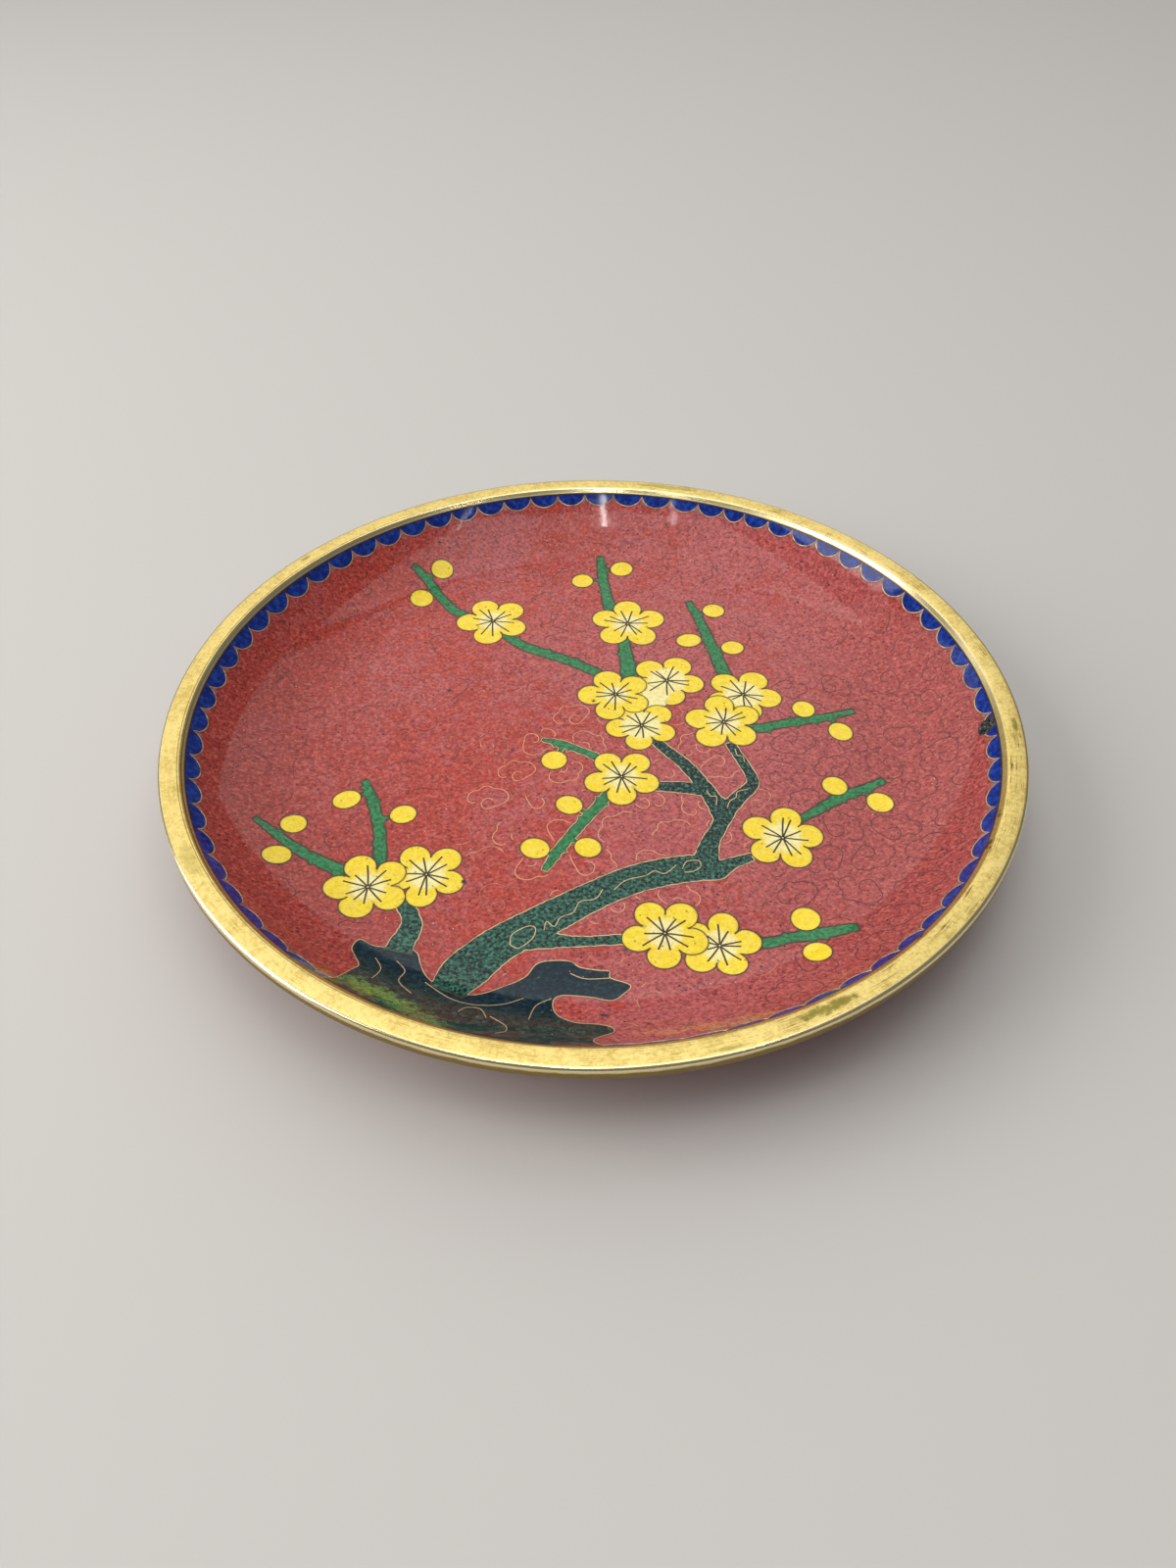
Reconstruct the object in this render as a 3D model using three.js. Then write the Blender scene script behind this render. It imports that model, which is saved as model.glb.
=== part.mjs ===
// A small round cloisonne dish: an enamelled copper dish with a rounded wall, a brass band
// round its edge and a brass ring below it as a foot. Millimetres, +Z up; the origin is the
// middle of the circle that the foot stands on.
import * as THREE from 'three';

// Sizes across the dish
const RIM_DIAMETER = 150;       // over the outside of the brass band
const RIM_BAND_WIDTH = 4.1;     // of the band, seen from above
const FOOT_DIAMETER = 92;       // over the outside of the foot, where it meets the dish

// Sizes of the enamelled dish
const WELL_DEPTH = 9.65;        // from the edge of the enamel down to the flat floor
const WALL_THICKNESS = 2.2;     // copper with the enamel on both of its sides
const WALL_SLOPE = THREE.MathUtils.degToRad(49);   // of the wall where it reaches the band
const WALL_STEPS = 8;           // facets down the rounded wall

// Sizes of the brass band's section
const BAND_SLOPE_WIDTH = 1.05;  // the gentle slope inside the flat crown
const BAND_SLOPE_DROP = 0.15;
const BAND_BEVEL_WIDTH = 0.6;   // the steep inner edge that runs down to the enamel
const BAND_BEVEL_DROP = 0.7;
const BAND_HEIGHT = 2.35;       // of the band's outer face with its two rounded edges
const BAND_TOP_ROUND = 0.6;
const BAND_UNDER_ROUND = 0.45;

// Sizes of the foot ring's section
const FOOT_HEIGHT = 5;
const FOOT_THICKNESS = 2.4;     // where it meets the dish
const FOOT_TAPER = 0.5;         // its outer face comes in by this much on the way down
const FOOT_ROUND = 0.45;        // of both edges that it stands on

const TURN_STEPS = 96;          // facets round each ring
const ROUND_STEPS = 3;          // facets over each rounded edge

// Heights and radii that follow from the sizes
const rimRadius = RIM_DIAMETER / 2;
const enamelRadius = rimRadius - RIM_BAND_WIDTH;
const wallArc = WELL_DEPTH / (1 - Math.cos(WALL_SLOPE));
const floorRadius = enamelRadius - wallArc * Math.sin(WALL_SLOPE);
const undersideHeight = FOOT_HEIGHT;
const floorHeight = undersideHeight + WALL_THICKNESS;
const enamelHeight = floorHeight + WELL_DEPTH;
const crownHeight = enamelHeight + BAND_BEVEL_DROP + BAND_SLOPE_DROP;
const arcCentre = new THREE.Vector2(floorRadius, floorHeight + wallArc);

// Points of a round stretch about a centre; angles are measured from straight out, upwards.
function arc(centre, radius, from, to, steps) {
  const points = [];
  for (let i = 0; i <= steps; i++) {
    const angle = from + (to - from) * i / steps;
    points.push(new THREE.Vector2(
      centre.x + radius * Math.cos(angle), centre.y + radius * Math.sin(angle)));
  }
  return points;
}

// A section (radius, height) turned once round the dish's axis, which stands upright.
function turned(section) {
  return new THREE.LatheGeometry(section, TURN_STEPS).rotateX(Math.PI / 2);
}

const straightDown = -Math.PI / 2;
const wallEnd = straightDown + WALL_SLOPE;

// The wall's two faces share one centre, so its thickness is the same all the way.
const wallOutside = arc(arcCentre, wallArc + WALL_THICKNESS, straightDown, wallEnd, WALL_STEPS);
const wallInside = arc(arcCentre, wallArc, wallEnd, straightDown, WALL_STEPS);

function dishSection() {
  return [
    new THREE.Vector2(0, undersideHeight),
    ...wallOutside,
    ...wallInside,
    new THREE.Vector2(0, floorHeight),
  ];
}

// The band lies on the cut edge of the dish: the two share the edge's inner and outer lines.
function bandSection() {
  const outerEdgeOfWall = wallOutside[WALL_STEPS];
  const innerEdgeOfWall = wallInside[0];
  const underRound = new THREE.Vector2(
    rimRadius - BAND_UNDER_ROUND, crownHeight - BAND_HEIGHT + BAND_UNDER_ROUND);
  const topRound = new THREE.Vector2(rimRadius - BAND_TOP_ROUND, crownHeight - BAND_TOP_ROUND);
  const bevelTop = new THREE.Vector2(
    enamelRadius + BAND_BEVEL_WIDTH, enamelHeight + BAND_BEVEL_DROP);
  return [
    outerEdgeOfWall,
    ...arc(underRound, BAND_UNDER_ROUND, straightDown, 0, ROUND_STEPS),
    ...arc(topRound, BAND_TOP_ROUND, 0, Math.PI / 2, ROUND_STEPS),
    new THREE.Vector2(bevelTop.x + BAND_SLOPE_WIDTH, crownHeight),
    bevelTop,
    innerEdgeOfWall,
    outerEdgeOfWall,
  ];
}

// The foot is soldered to the flat underside of the dish and stands on a flat ring.
function footSection() {
  const outerTop = FOOT_DIAMETER / 2;
  const inner = outerTop - FOOT_THICKNESS;
  const innerRound = new THREE.Vector2(inner + FOOT_ROUND, FOOT_ROUND);
  const outerRound = new THREE.Vector2(outerTop - FOOT_TAPER - FOOT_ROUND, FOOT_ROUND);
  return [
    new THREE.Vector2(inner, undersideHeight),
    ...arc(innerRound, FOOT_ROUND, -Math.PI, straightDown, ROUND_STEPS),
    ...arc(outerRound, FOOT_ROUND, straightDown, 0, ROUND_STEPS),
    new THREE.Vector2(outerTop, undersideHeight),
    new THREE.Vector2(inner, undersideHeight),
  ];
}

function piece(name, section, colour, roughness, metalness) {
  const material = new THREE.MeshStandardMaterial({ color: colour, roughness, metalness });
  const mesh = new THREE.Mesh(turned(section), material);
  mesh.name = name;
  return mesh;
}

const tray = new THREE.Group();
tray.add(piece('enamelled_dish', dishSection(), 0xb95f58, 0.32, 0.0));
tray.add(piece('rim_band', bandSection(), 0xd9b566, 0.38, 1.0));
tray.add(piece('foot_ring', footSection(), 0xc8a052, 0.45, 1.0));

export default tray;
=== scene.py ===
import math
import random

import bpy
from bpy.props import FloatProperty, FloatVectorProperty, IntProperty, PointerProperty
from mathutils import Matrix, Vector
from mathutils.bvhtree import BVHTree
from mathutils.geometry import delaunay_2d_cdt
from mathutils.kdtree import KDTree


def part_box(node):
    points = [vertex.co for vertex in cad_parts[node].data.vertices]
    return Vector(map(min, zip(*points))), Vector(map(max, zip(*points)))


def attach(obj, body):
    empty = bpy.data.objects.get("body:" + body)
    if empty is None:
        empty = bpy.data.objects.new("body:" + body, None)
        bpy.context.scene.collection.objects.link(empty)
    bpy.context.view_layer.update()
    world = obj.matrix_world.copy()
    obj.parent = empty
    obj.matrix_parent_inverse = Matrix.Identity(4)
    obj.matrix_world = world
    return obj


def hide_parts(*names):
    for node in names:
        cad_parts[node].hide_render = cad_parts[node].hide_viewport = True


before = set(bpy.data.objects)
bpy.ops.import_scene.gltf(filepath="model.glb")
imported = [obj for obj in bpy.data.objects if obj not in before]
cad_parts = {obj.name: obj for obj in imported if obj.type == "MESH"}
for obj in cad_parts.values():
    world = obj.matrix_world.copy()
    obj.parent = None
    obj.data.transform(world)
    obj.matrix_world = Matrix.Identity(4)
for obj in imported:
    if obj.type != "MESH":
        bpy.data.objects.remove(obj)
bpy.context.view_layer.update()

bl_info = {
    "name": "Cloisonne Dish",
    "version": (1, 0, 0),
    "blender": (4, 5, 0),
    "location": "View3D > Sidebar > Dish",
    "description": "A small round cloisonne dish with a blossoming branch, a brass band and a brass foot",
    "category": "Add Mesh",
}

BAND_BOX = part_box("rim_band")
DISH_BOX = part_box("enamelled_dish")
FOOT_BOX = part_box("foot_ring")
MM = 0.001
SEED = 73

# The picture, in millimetres from the dish's axis: x to the right, y away from the viewer.

# Blossoms from the back to the front: middle x and y, direction of one petal in degrees,
# reach of the petals, and how far the cream heart goes, as a share of the reach.
BLOSSOMS = (
    (-20.3, 36.9, 43, 7.7, 0.34),
    (7.5, 35.7, 16, 7.8, 0.34),
    (14.6, 17.4, 60, 7.4, 0.46),
    (9.2, 4.4, 46, 6.9, 0.48),
    (4.5, 13.3, 38, 7.2, 0.30),
    (29.0, 13.0, 60, 7.5, 0.44),
    (24.6, 5.2, 22, 7.4, 0.36),
    (5.1, -9.2, 53, 7.1, 0.36),
    (32.0, -24.2, 5, 7.1, 0.42),
    (19.4, -46.8, 6, 6.6, 0.40),
    (11.0, -44.3, 50, 7.0, 0.36),
    (-27.6, -31.8, 48, 6.9, 0.40),
    (-36.9, -34.4, 39, 7.2, 0.36),
)
# A petal, as shares of the blossom's reach: its middle, its rounding and the notch beside it.
PETAL_MIDDLE, PETAL_ROUNDING, PETAL_NOTCH = 0.62, 0.38, 0.58
STAMENS_PER_PETAL = 2
# Pale enamel that fills the corner between the three blossoms of the large cluster.
CLUSTER_FILL = ((8.5, 9.0), (10.5, 16.5), (15.0, 13.5), (14.0, 10.0), (12.0, 8.0))
CLUSTER_FILL_BEHIND = 3     # it belongs to the blossom before this one

BUDS = (
    (-31.8, 52.1), (-35.6, 43.8), (-1.8, 50.8), (6.7, 54.5), (25.5, 39.9), (19.7, 30.0),
    (28.3, 27.5), (40.0, 8.7), (46.0, 2.3), (-43.2, -14.4), (-32.9, -18.1), (-51.3, -20.7),
    (-52.4, -28.9), (-7.0, -4.8), (-4.2, -16.1), (-9.9, -26.2), (-1.0, -26.1), (42.7, -11.9),
    (49.9, -16.2), (33.4, -41.9), (33.9, -49.6),
)
BUD_LENGTH, BUD_WIDTH = 4.9, 4.5

# Limbs: x, y and width along the middle.
TWIGS = (
    ((-37.9, 51.6, 1.4), (-35.2, 49.5, 2.1), (-31.4, 44.3, 2.1), (-27.4, 39.6, 2.4), (-20.3, 35.9, 2.2)),
    ((-20.3, 35.9, 2.2), (-16.4, 31.0, 2.3), (-12.2, 27.6, 2.6), (-5.8, 24.4, 2.5), (-0.7, 21.2, 2.5),
     (4.5, 17.0, 2.2)),
    ((2.1, 58.2, 1.5), (2.5, 53.2, 2.1), (3.2, 46.5, 2.3), (4.2, 40.5, 2.7), (7.5, 35.7, 2.6)),
    ((7.5, 35.7, 2.6), (6.6, 29.4, 2.5), (7.0, 23.8, 2.8), (7.4, 18.0, 3.3), (9.0, 12.0, 2.6)),
    ((20.4, 43.2, 1.4), (22.0, 38.0, 2.1), (23.7, 30.4, 2.3), (25.2, 22.8, 2.7), (27.0, 15.0, 2.6)),
    ((26.5, 3.4, 2.4), (31.0, 3.3, 2.4), (35.5, 4.6, 2.2), (40.5, 5.6, 2.3), (44.6, 6.5, 2.0),
     (49.4, 8.1, 1.5)),
    ((32.0, -23.0, 1.6), (36.2, -19.6, 1.7), (39.5, -17.3, 2.1), (43.6, -14.5, 2.5), (47.6, -12.8, 2.1),
     (51.6, -10.6, 1.7)),
    ((21.0, -46.6, 2.2), (26.5, -46.6, 2.3), (30.4, -45.8, 2.2), (34.4, -45.4, 2.8), (40.9, -45.0, 1.9)),
    ((-9.4, 0.7, 0.9), (-5.7, -0.5, 1.9), (-2.3, -2.3, 1.8), (0.8, -4.2, 1.9), (5.1, -8.0, 1.9)),
    ((4.6, -10.5, 1.9), (2.5, -13.8, 2.2), (-0.1, -17.7, 2.2), (-3.1, -22.2, 2.1), (-6.0, -26.8, 2.1),
     (-8.2, -31.2, 1.3)),
    ((-40.7, -9.7, 1.4), (-39.2, -13.2, 2.0), (-37.6, -18.0, 2.1), (-36.2, -23.8, 2.2),
     (-35.7, -29.4, 2.5), (-36.0, -33.0, 2.5)),
    ((-57.6, -20.9, 1.2), (-54.2, -23.3, 1.8), (-49.7, -26.6, 2.2), (-45.0, -29.3, 2.6),
     (-40.0, -32.0, 2.8)),
)
BARK_LIMBS = (
    ((-22.0, -56.6, 5.6), (-19.6, -51.5, 7.6), (-15.4, -46.6, 6.9), (-8.6, -42.0, 6.6),
     (-0.8, -37.0, 5.9), (5.3, -33.7, 5.8), (10.5, -31.9, 5.9), (16.6, -30.8, 5.7), (20.2, -30.8, 4.6)),
    ((17.0, -31.0, 4.6), (20.2, -31.2, 4.4), (22.6, -30.0, 2.6), (26.4, -28.4, 1.8)),
    ((-12.0, -45.4, 4.2), (-7.0, -45.6, 3.0), (-3.0, -45.8, 2.1), (0.5, -45.7, 1.9), (5.0, -45.4, 2.1)),
    ((18.4, -30.5, 5.0), (19.6, -25.4, 3.3), (21.8, -20.8, 2.9), (22.3, -17.7, 4.6),
     (21.0, -15.0, 3.3), (19.2, -10.9, 2.8), (16.6, -6.2, 2.6), (13.4, -2.3, 2.3), (10.5, 1.5, 1.9)),
    ((22.2, -18.6, 3.4), (25.5, -14.6, 3.0), (28.3, -11.2, 2.4), (27.7, -7.6, 2.0), (26.5, -4.2, 2.0),
     (25.2, -0.5, 2.0)),
    ((20.6, -13.2, 2.6), (17.0, -12.2, 2.9), (13.2, -11.8, 2.6), (11.0, -11.6, 2.4)),
    ((-30.4, -48.4, 4.6), (-29.9, -45.9, 3.9), (-29.0, -43.0, 3.6), (-29.4, -40.3, 2.9),
     (-31.2, -37.0, 3.0)),
)
# The knot and the wandering wires that mark the bark.
BARK_LINES = (
    ((-13.2, -46.3), (-13.0, -44.4), (-10.8, -42.8), (-9.4, -43.0), (-9.7, -45.0), (-11.8, -47.0),
     (-13.2, -46.3)),
    ((-8.0, -43.6), (-7.6, -41.8), (-6.4, -42.8), (-5.4, -41.0), (-3.4, -40.0), (-2.3, -37.8),
     (0.2, -37.2), (1.4, -35.2)),
    ((3.2, -35.4), (5.2, -33.4), (8.4, -32.4), (10.0, -31.4), (11.6, -32.0), (13.6, -30.2)),
    ((14.6, -31.0), (15.4, -29.4), (17.4, -29.2), (17.6, -30.6), (16.2, -31.6), (14.9, -31.7)),
    ((20.0, -12.8), (20.6, -14.2), (21.6, -14.4), (21.4, -16.4)),
    ((23.2, -17.2), (23.9, -15.4), (25.0, -14.6), (25.4, -13.2), (27.2, -12.6)),
    ((26.0, -2.2), (26.3, -4.0), (27.2, -4.2), (27.4, -5.6)),
)
ROCK = (
    (-36.4, -46.2), (-34.0, -47.4), (-30.4, -47.3), (-27.6, -48.0), (-26.6, -50.7), (-25.2, -53.6),
    (-22.0, -56.4), (-18.0, -56.9), (-14.2, -55.0), (-10.7, -52.7), (-8.6, -49.8), (-4.1, -49.5),
    (-2.4, -50.7), (0.2, -51.3), (2.3, -51.6), (2.2, -52.8), (5.3, -54.4), (4.2, -56.2), (2.4, -57.6),
    (-1.0, -56.8), (-5.1, -56.5), (-6.3, -57.9), (-5.7, -60.8), (-3.1, -62.7), (0.2, -63.2),
    (2.2, -64.0), (2.5, -65.5), (0.6, -66.8), (-0.4, -68.2), (0.2, -72.0), (-20.0, -70.5),
    (-38.0, -61.0), (-37.4, -57.4), (-36.2, -54.2), (-35.4, -52.6), (-36.4, -50.4), (-37.2, -48.4),
)
ROCK_LINES = (
    ((-33.4, -50.2), (-32.2, -52.7), (-33.0, -55.5)),
    ((-30.2, -50.4), (-28.7, -52.5), (-29.2, -55.2), (-26.9, -58.0)),
    ((-25.4, -54.8), (-21.3, -58.2), (-17.7, -59.3), (-13.7, -58.8), (-10.7, -57.2)),
    ((-6.6, -57.2), (-8.8, -58.9), (-9.7, -62.3)),
    ((-19.8, -61.4), (-18.9, -60.2), (-16.8, -60.2), (-15.7, -62.5)),
    ((-15.2, -62.0), (-12.9, -64.2), (-12.7, -66.0), (-14.0, -67.0)),
    ((-3.8, -51.9), (-1.5, -53.0), (2.2, -52.9)),
)
MOSS_PATH = ((-35.0, -57.2), (-31.0, -59.6), (-27.0, -62.6), (-22.5, -66.6))
MOSS_REACH = 3.4
# Old chips and burst bubbles, dark inside: x, y, length, width.
CHIPS = (
    (69.2, -5.4, 3.5, 2.3), (25.9, -28.2, 1.0, 0.8), (-21.3, -33.5, 0.9, 0.7), (4.8, -47.4, 0.8, 0.5),
    (0.3, 11.5, 0.6, 0.5), (-27.6, 14.8, 0.9, 0.6), (1.1, -61.0, 0.9, 0.6), (7.6, -63.4, 0.6, 0.4),
)

# One cloud scroll, 1 wide: a lobed line that starts in a curl and runs once round it.
CLOUD = (
    (-0.17, -0.02), (-0.04, 0.00), (0.05, -0.11), (0.04, -0.27), (-0.08, -0.38), (-0.22, -0.34),
    (-0.33, -0.19), (-0.46, 0.01), (-0.50, 0.20), (-0.38, 0.37), (-0.17, 0.43), (0.03, 0.36),
    (0.20, 0.38), (0.32, 0.28), (0.35, 0.14), (0.46, 0.03), (0.51, -0.14), (0.43, -0.31),
    (0.30, -0.37), (0.21, -0.29),
)
CLOUD_WIDTH = 7.6
CLOUD_PITCH = (9.4, 7.4)

# How the face is cut into triangles, in millimetres.
BESIDE_OUTLINE, BESIDE_CLEAR = 0.42, 0.30   # points beside an outline: their way from it and from others
FIELD_PITCH, FIELD_CLEAR = 1.15, 0.55       # the even field of points: its pitch and its way from others
ROW_PITCH = 0.866           # of rows that stand like cells of a honeycomb, as a share of the pitch

WIRE_TOP = 0.62             # the share of its width that a wire keeps on top
WIRE_SINK = 0.08            # how far a wire goes down into the enamel, in millimetres
STAMEN_WIDTH = 0.42         # in millimetres

# Kinds of enamel, in the order of the material slots.
GROUND, BLUE, PETAL, TWIG, BARK, STONE, CHIP = range(7)
UNBORDERED = ("chip",)      # these have no wire round them

# Scallops, in degrees and millimetres.
SCALLOP_START = -125.2      # plan angle of the first cusp
SCALLOP_LINE = 70           # radius at which the straying is measured
CUSP_BELOW_EDGE = 0.60      # how far in from the edge of the enamel the cusps lie
CUSP_SHIFT = 0.22           # how much nearer they come at the upper right, and farther opposite
SCALLOP_FULLNESS = 0.62     # how round a scallop is; 0.5 is an ellipse
# The scallops were bent by hand: plan angle, how far they stray clockwise, and how far their
# tips lie from the edge of the enamel. The band hides more of them in front.
SCALLOP_DRIFT = (
    (-125, -0.4, 1.7), (-100, -0.6, 1.15), (-80, -0.8, 1.2), (-72, -0.9, 1.55), (-56, -0.4, 1.9),
    (-40, 0.4, 2.0), (-17, -0.1, 2.05), (-3, 0.7, 2.1), (8, -0.85, 2.1), (18, -0.25, 2.1), (38, -0.4, 2.1),
    (61, 0.2, 2.0), (66, 1.8, 2.0), (73, 2.1, 2.0), (92, 1.0, 2.0), (120, 1.3, 2.2), (140, 1.1, 2.35),
    (160, 0.3, 2.4), (180, 0.9, 2.4), (203, 0.65, 2.3), (215, 0.15, 2.2),
)

# The photograph's camera: distances in millimetres from the crown of the band, angles in degrees.
CAMERA_PLACE = (-0.9, -156.2, 134.3)
CAMERA_PITCH = 44.92
CAMERA_ROLL = 0.40
FRAME_HEIGHT = 36
CAMERA_FOCAL = 26.55        # on that frame
# Soft lights: place, width and height in metres, brightness.
SOFT_LIGHTS = (
    ("behind", (-0.25, 1.00, 0.95), 2.02, 1.0, 0.72),
    ("above", (0.0, 0.10, 1.30), 1.2, 1.12, 1.14),
    ("left", (-0.78, -0.10, 0.46), 0.64, 0.68, 3.2),
)
LIGHT_COLOUR = (1.0, 0.985, 0.96)
ROOM_COLOUR, ROOM_BRIGHTNESS = (0.80, 0.82, 0.85, 1), 0.22
FLOOR_COLOUR, FLOOR_ROUGHNESS = (0.62, 0.60, 0.57, 1), 0.8
# Narrow ceiling lamps: width, length and height in metres.
LAMP_WIDTH, LAMP_LENGTH, LAMP_HEIGHT = 0.005, 0.46, 0.78
# Ceiling lamps: x and y in metres, turn in degrees, brightness.
CEILING_LAMPS = ((-0.030, -0.28, -2, 48.0), (-0.235, -0.34, -17, 18.0), (0.385, -0.35, 17, 15.0))

# The brass band's section, in millimetres: its rounded edges, then how far in from the lip and how
# far below the crown the points over the lip lie.
BAND_UNDER_ROUND, BAND_TOP_ROUND = 0.45, 0.6
LIP_SECTION = (
    (3.4, 0.0), (2.2, 0.01), (1.4, 0.05), (0.98, 0.11), (0.82, 0.18), (0.70, 0.30),
    (0.14, 0.92), (0.03, 1.04), (0.0, 1.14), (0.02, 1.32), (0.40, 1.40),
)
# The foot's section, in millimetres.
FOOT_THICKNESS, FOOT_ROUND, FOOT_TAPER = 2.4, 0.45, 0.5
FOOT_WAIST = (0.3, 0.7)     # millimetres in from its widest, as a share of its height
BASE_UNDER_FOOT = 1.2       # how far in from the foot's outer face the blue of the base ends


class DishSizes(bpy.types.PropertyGroup):
    """Sizes of the dish, its wires and its rings"""

    band_width: FloatProperty(
        name="Band width", description="Width of the brass band seen from above",
        default=4.1 * MM, unit="LENGTH")
    well_depth: FloatProperty(
        name="Well depth", description="From the edge of the enamel down to the floor",
        default=9.65 * MM, unit="LENGTH")
    wall_slope: FloatProperty(
        name="Wall slope", description="Slope of the wall where it meets the band",
        default=math.radians(49), subtype="ANGLE")
    wall_thickness: FloatProperty(
        name="Wall thickness", description="Copper with the enamel on both sides",
        default=2.2 * MM, unit="LENGTH")
    enamel_thickness: FloatProperty(
        name="Enamel thickness", description="Thickness of the enamel in the well",
        default=0.7 * MM, unit="LENGTH")
    scallops: IntProperty(name="Scallops", description="Number of blue scallops", default=73)
    scallop_depth: FloatProperty(
        name="Scallop depth", description="Usual way from the edge of the enamel to a scallop's tip",
        default=2.0 * MM, unit="LENGTH")
    lip: FloatProperty(
        name="Lip", description="How far the band's lip laps over the enamel",
        default=0.28 * MM, unit="LENGTH")
    wire_width: FloatProperty(
        name="Wire width", description="Width of the wire round a cell of enamel",
        default=0.25 * MM, unit="LENGTH")
    wire_stand: FloatProperty(
        name="Wire stand", description="How far a wire stands above the enamel",
        default=0.035 * MM, unit="LENGTH")


class DishColours(bpy.types.PropertyGroup):
    """Colours of the enamels and the brass"""

    ground: FloatVectorProperty(
        name="Ground", description="Brick red ground", subtype="COLOR", default=(0.52, 0.090, 0.072))
    blue: FloatVectorProperty(
        name="Scallops", description="Deep blue of the edge", subtype="COLOR", default=(0.007, 0.028, 0.25))
    petal: FloatVectorProperty(
        name="Petals", description="Yellow of petals and buds", subtype="COLOR", default=(0.97, 0.74, 0.018))
    heart: FloatVectorProperty(
        name="Hearts", description="Cream of a blossom's middle", subtype="COLOR", default=(0.96, 0.88, 0.42))
    twig: FloatVectorProperty(
        name="Twigs", description="Bright green of the twigs", subtype="COLOR", default=(0.030, 0.225, 0.075))
    bark: FloatVectorProperty(
        name="Bark", description="Dark green of the branch", subtype="COLOR", default=(0.022, 0.095, 0.066))
    stone: FloatVectorProperty(
        name="Rock", description="Slate blue of the rock", subtype="COLOR", default=(0.003, 0.020, 0.034))
    moss: FloatVectorProperty(
        name="Moss", description="Light green on the rock", subtype="COLOR", default=(0.16, 0.31, 0.075))
    brass: FloatVectorProperty(
        name="Brass", description="Clean brass", subtype="COLOR", default=(0.95, 0.75, 0.27))
    tarnish: FloatVectorProperty(
        name="Tarnish", description="Brass gone dull and dark", subtype="COLOR", default=(0.64, 0.45, 0.11))


def sizes():
    return bpy.context.scene.dish_sizes


def colours():
    return bpy.context.scene.dish_colours


class Well:
    """The inner face of the dish: a flat floor, and a wall that is one arc of a circle."""

    def __init__(self, deeper=0.0):
        own = sizes()
        self.edge = BAND_BOX[1][0] - own.band_width
        self.arc = own.well_depth / (1 - math.cos(own.wall_slope))
        self.floor = self.edge - self.arc * math.sin(own.wall_slope)
        self.floor_height = DISH_BOX[0][2] + own.wall_thickness
        self.slope = own.wall_slope
        self.deeper = deeper

    def at(self, x, y, above=0.0):
        """A point over (x, y) in millimetres on the face, moved off it by above metres."""
        radius = math.hypot(x, y) * MM
        lean = max(0.0, min(1.0, (radius - self.floor) / self.arc))
        height = self.floor_height + self.arc * (1 - math.sqrt(1 - lean * lean))
        return Vector((x * MM, y * MM, height)) + self.normal(x, y) * (above - self.deeper)

    def normal(self, x, y):
        radius = math.hypot(x, y) * MM
        lean = max(0.0, min(1.0, (radius - self.floor) / self.arc))
        if lean == 0:
            return Vector((0, 0, 1))
        return Vector((-x * MM / radius * lean, -y * MM / radius * lean, math.sqrt(1 - lean * lean)))

    def section(self, steps, outwards=0.0):
        """(radius, height) points from the axis to the edge, moved off the face by outwards."""
        points = [(0.0, self.floor_height - outwards)]
        for i in range(steps + 1):
            angle = self.slope * i / steps
            reach = self.arc + outwards
            points.append((self.floor + reach * math.sin(angle),
                           self.floor_height + self.arc - reach * math.cos(angle)))
        return points


def curve_through(points, step=0.5, closed=False):
    """Points about a step apart on a smooth curve through the given ones."""
    count = len(points)
    made = []
    for i in range(count if closed else count - 1):
        if closed:
            four = [points[(i + k) % count] for k in (-1, 0, 1, 2)]
        else:
            four = [points[max(0, min(count - 1, i + k))] for k in (-1, 0, 1, 2)]
        length = math.dist(four[1][:2], four[2][:2])
        parts = max(1, round(length / step))
        for j in range(parts):
            t = j / parts
            made.append(tuple(
                0.5 * (2 * b + (c - a) * t + (2 * a - 5 * b + 4 * c - d) * t * t
                       + (3 * b - a - 3 * c + d) * t ** 3)
                for a, b, c, d in zip(*four)))
    if not closed:
        made.append(tuple(points[-1]))
    return made


def ring(x, y, length, width, turn=0.0, count=24):
    """An ellipse round (x, y)."""
    made = []
    for i in range(count):
        angle = math.tau * i / count
        along, across = length / 2 * math.cos(angle), width / 2 * math.sin(angle)
        made.append((x + along * math.cos(turn) - across * math.sin(turn),
                     y + along * math.sin(turn) + across * math.cos(turn)))
    return made


def limb(points, chance, waver=0.10, thorns=0):
    """The outline of a tapering limb with a slightly uneven edge and a few thorns."""
    middle = curve_through(points)
    last = len(middle) - 1
    sides = ([], [])
    thorn_at = {(chance.randrange(4, max(5, last - 3)), chance.randrange(2)) for _ in range(thorns)}
    for i, (x, y, width) in enumerate(middle):
        x0, y0, _ = middle[max(0, i - 1)]
        x1, y1, _ = middle[min(last, i + 1)]
        length = math.hypot(x1 - x0, y1 - y0)
        across = (-(y1 - y0) / length, (x1 - x0) / length)
        for side, sign in enumerate((1, -1)):
            half = sign * (width / 2 + chance.uniform(-waver, waver))
            if (i, side) in thorn_at:
                half += sign * 0.55
            sides[side].append((x + across[0] * half, y + across[1] * half))
    return sides[0] + sides[1][::-1]


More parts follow.
